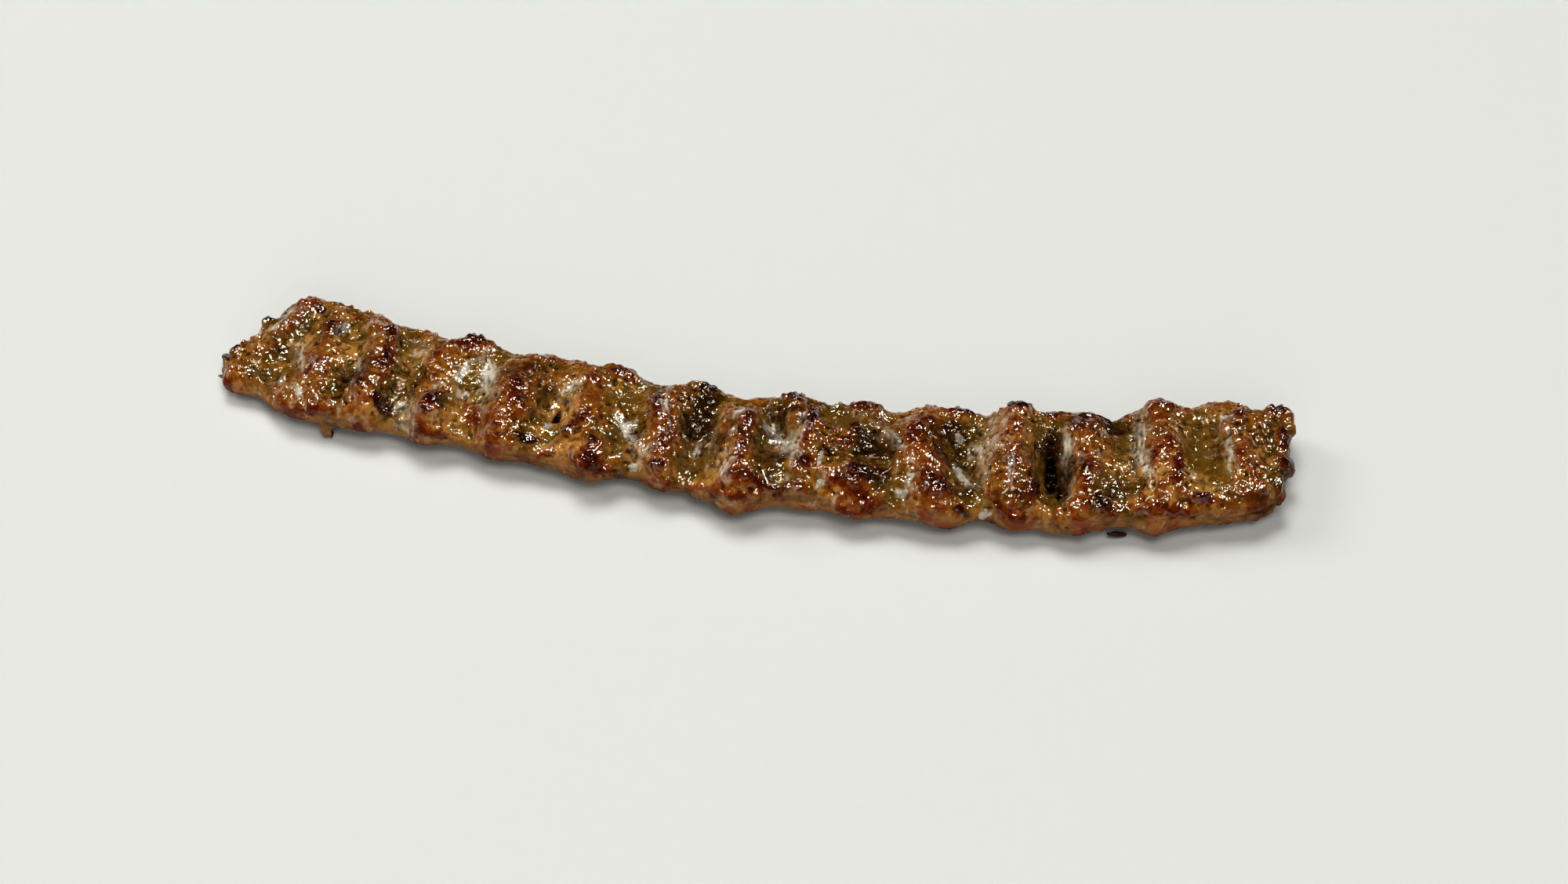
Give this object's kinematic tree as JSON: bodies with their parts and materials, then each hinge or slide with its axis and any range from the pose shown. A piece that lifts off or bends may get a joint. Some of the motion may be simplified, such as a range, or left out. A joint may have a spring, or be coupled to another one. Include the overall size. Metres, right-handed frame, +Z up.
{
  "type": "koobideh kebab",
  "caption": "Grilled minced-meat kebab off its skewer: a long flat bowed strip with pressed ridges, browned crust and an oily sheen, lying on its underside.",
  "frame": {"origin": "under the middle of the bounding box, on the surface that the kebab lies on", "axes": "+X along the strip to its blunt end, +Y from the front edge to the back edge, +Z up"},
  "size_m": [0.264, 0.058, 0.0157],
  "materials": {
    "crust": null,
    "char": null,
    "fat": null,
    "oil": null
  },
  "bodies": {
    "root": {"kebab": "crust"}
  },
  "joints": []
}
